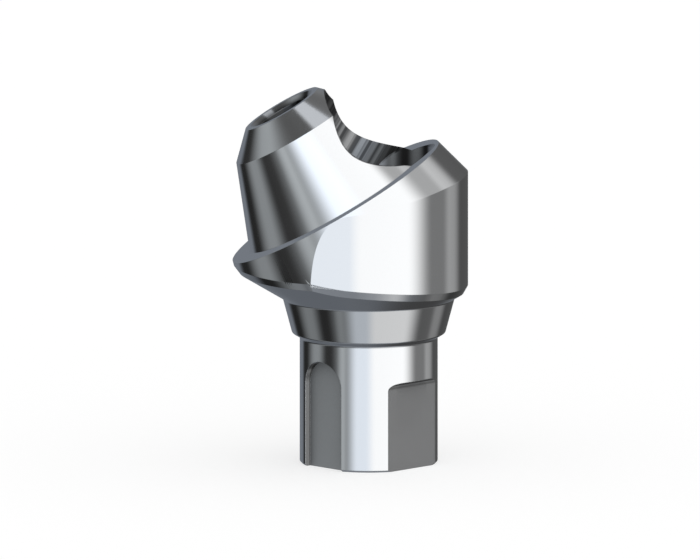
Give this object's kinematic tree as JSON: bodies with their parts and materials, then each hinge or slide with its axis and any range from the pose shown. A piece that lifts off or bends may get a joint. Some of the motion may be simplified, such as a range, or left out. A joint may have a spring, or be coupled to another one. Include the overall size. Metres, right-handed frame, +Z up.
{
  "type": "dental abutment",
  "caption": "Angled screw-retained dental abutment: a round keyed foot and tapered seat carry a flat platform and a conical post that lean to one side of the implant axis.",
  "frame": {"origin": "centre of the flat lower end, on the implant axis", "axes": "+Z up the implant axis, -X the way the post leans"},
  "size_m": [0.0047, 0.0048, 0.0076],
  "materials": {
    "abutment": "polished titanium"
  },
  "bodies": {
    "root": {"abutment": "abutment"}
  },
  "joints": []
}
